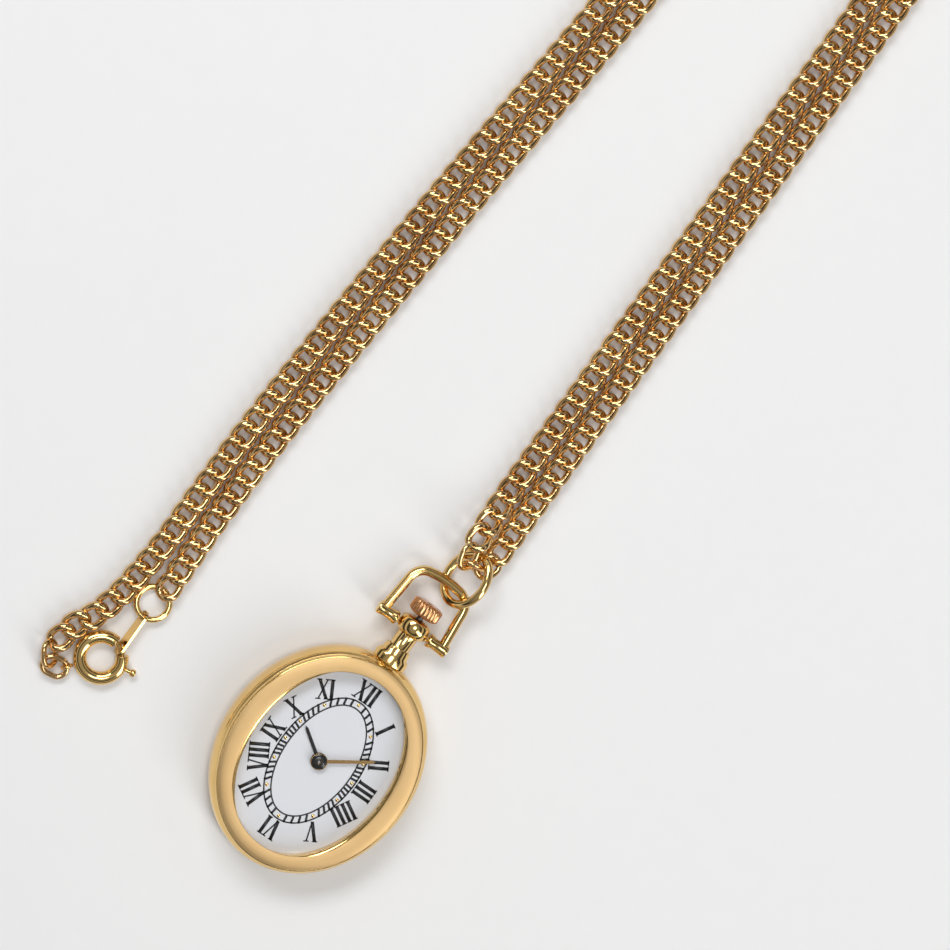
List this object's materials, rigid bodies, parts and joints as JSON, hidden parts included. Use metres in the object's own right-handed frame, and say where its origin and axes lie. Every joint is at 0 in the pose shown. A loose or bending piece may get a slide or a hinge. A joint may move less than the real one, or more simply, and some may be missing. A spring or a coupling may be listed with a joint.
{
  "type": "pocket watch",
  "caption": "Oval gold-plated pendant watch with Roman numerals, crown in a swinging bow, and a doubled curb chain with a spring-ring clasp.",
  "frame": {"origin": "under the centre of the dial, on the flat outer face of the case back", "axes": "+X towards the III, +Y towards the XII and the crown, +Z out of the dial"},
  "size_m": [0.0522, 0.2198, 0.0064],
  "materials": {
    "polished_gold": "polished yellow gold plating",
    "satin_gold": "satin pale gold plating, brushed face",
    "chain_gold": "polished gold plating on the chain",
    "crown_gold": "coppery gold plating, fluted",
    "movement_brass": "satin brass",
    "nickel_plate": "nickel plated",
    "steel": "polished steel",
    "stem_steel": "dark blued steel",
    "crystal_glass": "clear mineral glass",
    "gasket_rubber": "matte rubber",
    "dial_enamel": "white enamel with black printing",
    "holder_plastic": "moulded plastic",
    "circuit_board": "green solder mask",
    "chip_black": "black resin",
    "hand_black": "black lacquer",
    "hand_bronze": "gold bronze finish",
    "coil_wire": "enamelled copper wire",
    "magnet": "sintered magnet"
  },
  "bodies": {
    "chain": {"chain_strand_inner": "chain_gold", "chain_strand_outer": "chain_gold", "chain_link_over_ring": "chain_gold", "chain_link_in_ring": "chain_gold", "chain_link_under_ring": "chain_gold", "chain_end_link_first": "chain_gold", "chain_end_link_last": "chain_gold", "spring_ring": "polished_gold", "tongue_spring": "steel", "clasp_eyelet": "polished_gold", "chain_tab": "polished_gold", "jump_ring": "polished_gold"},
    "clasp_tongue": {"tongue": "polished_gold"},
    "pendant_ring": {"oval_ring": "polished_gold"},
    "bow": {"bow": "polished_gold"},
    "case": {"case_body": "polished_gold", "bezel": "satin_gold", "crystal": "crystal_glass", "crystal_gasket": "gasket_rubber", "case_back": "polished_gold", "case_back_gasket": "gasket_rubber", "dial": "dial_enamel", "pendant_foot": "polished_gold", "pendant_neck": "polished_gold", "pendant_head": "polished_gold", "bow_pin_left": "polished_gold", "bow_pin_right": "polished_gold", "stem_sleeve": "movement_brass", "stem_gasket": "gasket_rubber", "movement_holder": "holder_plastic", "main_plate": "movement_brass", "train_bridge": "nickel_plate", "bridge_post_1": "movement_brass", "bridge_post_2": "movement_brass", "bridge_post_3": "movement_brass", "bridge_screw_1": "steel", "bridge_screw_2": "steel", "bridge_screw_3": "steel", "battery": "steel", "battery_clamp": "nickel_plate", "stator": "nickel_plate", "coil_core": "nickel_plate", "coil": "coil_wire", "circuit_board": "circuit_board", "timing_chip": "chip_black", "quartz_can": "steel"},
    "setting_lever": {"setting_lever": "steel"},
    "crown": {"crown": "crown_gold", "stem": "stem_steel"},
    "sliding_pinion": {"sliding_pinion": "steel"},
    "minute_arbor": {"center_wheel": "movement_brass", "center_arbor": "steel", "cannon_pinion": "steel", "minute_hand": "hand_bronze"},
    "hour_pipe": {"hour_wheel": "movement_brass", "hour_hand": "hand_black"},
    "minute_wheel": {"minute_wheel": "movement_brass"},
    "setting_wheel": {"setting_wheel": "movement_brass"},
    "intermediate_wheel": {"intermediate_wheel": "movement_brass"},
    "rotor": {"rotor": "magnet"}
  },
  "joints": [
    {"name": "tongue_swing", "type": "hinge", "parent": "chain", "child": "clasp_tongue", "pos_m": [-0.0311, -0.0055, 0.00092], "axis": [0, 0, 1], "range_deg": [-40, 0], "stiffness_Nm_per_rad": 0.0001, "springref_deg": 17.19},
    {"name": "ring_swing", "type": "hinge", "parent": "chain", "child": "pendant_ring", "pos_m": [0.002, 0.0344, 0.00256], "axis": [0.7547, 0, 0.6561], "range_deg": [-35, 10]},
    {"name": "ring_on_bow", "type": "hinge", "parent": "pendant_ring", "child": "bow", "pos_m": [0, 0.02902, 0.00228], "axis": [1, 0, 0], "range_deg": [-5, 45]},
    {"name": "bow_swing", "type": "hinge", "parent": "bow", "child": "case", "pos_m": [0, 0.0213, 0.0029], "axis": [1, 0, 0], "range_deg": [-110, 80]},
    {"name": "crown_pull", "type": "slide", "parent": "case", "child": "setting_lever", "axis": [0, 1, 0], "range_m": [-0.0005, 0]},
    {"name": "crown_turn", "type": "hinge", "parent": "setting_lever", "child": "crown", "pos_m": [0, 0.024, 0.0029], "axis": [0, 1, 0], "continuous": true},
    {"name": "pinion_slide", "type": "slide", "parent": "crown", "child": "sliding_pinion", "axis": [0, 1, 0], "range_m": [0, 0.001]},
    {"name": "minute_hand_turn", "type": "hinge", "parent": "case", "child": "minute_arbor", "pos_m": [0, 0, 0.003], "axis": [0, 0, 1], "continuous": true},
    {"name": "hour_hand_turn", "type": "hinge", "parent": "case", "child": "hour_pipe", "pos_m": [0, 0, 0.003], "axis": [0, 0, 1], "continuous": true},
    {"name": "minute_wheel_turn", "type": "hinge", "parent": "case", "child": "minute_wheel", "pos_m": [0, 0.002, 0.003], "axis": [0, 0, 1], "continuous": true},
    {"name": "setting_wheel_turn", "type": "hinge", "parent": "case", "child": "setting_wheel", "pos_m": [0, 0.00425, 0.003], "axis": [0, 0, 1], "continuous": true},
    {"name": "intermediate_wheel_turn", "type": "hinge", "parent": "case", "child": "intermediate_wheel", "pos_m": [0, -0.00264, 0.002], "axis": [0, 0, 1], "continuous": true},
    {"name": "rotor_turn", "type": "hinge", "parent": "case", "child": "rotor", "pos_m": [0, -0.00474, 0.002], "axis": [0, 0, 1], "continuous": true}
  ],
  "couplings": [
    {"joint": "hour_hand_turn", "follows": "minute_hand_turn", "ratio": 0.083333},
    {"joint": "minute_wheel_turn", "follows": "minute_hand_turn", "ratio": -0.33333},
    {"joint": "setting_wheel_turn", "follows": "minute_hand_turn", "ratio": 0.66667},
    {"joint": "crown_turn", "follows": "minute_hand_turn", "ratio": -1},
    {"joint": "intermediate_wheel_turn", "follows": "minute_hand_turn", "ratio": -10},
    {"joint": "rotor_turn", "follows": "minute_hand_turn", "ratio": 90},
    {"joint": "pinion_slide", "follows": "crown_pull", "ratio": -1.8}
  ]
}
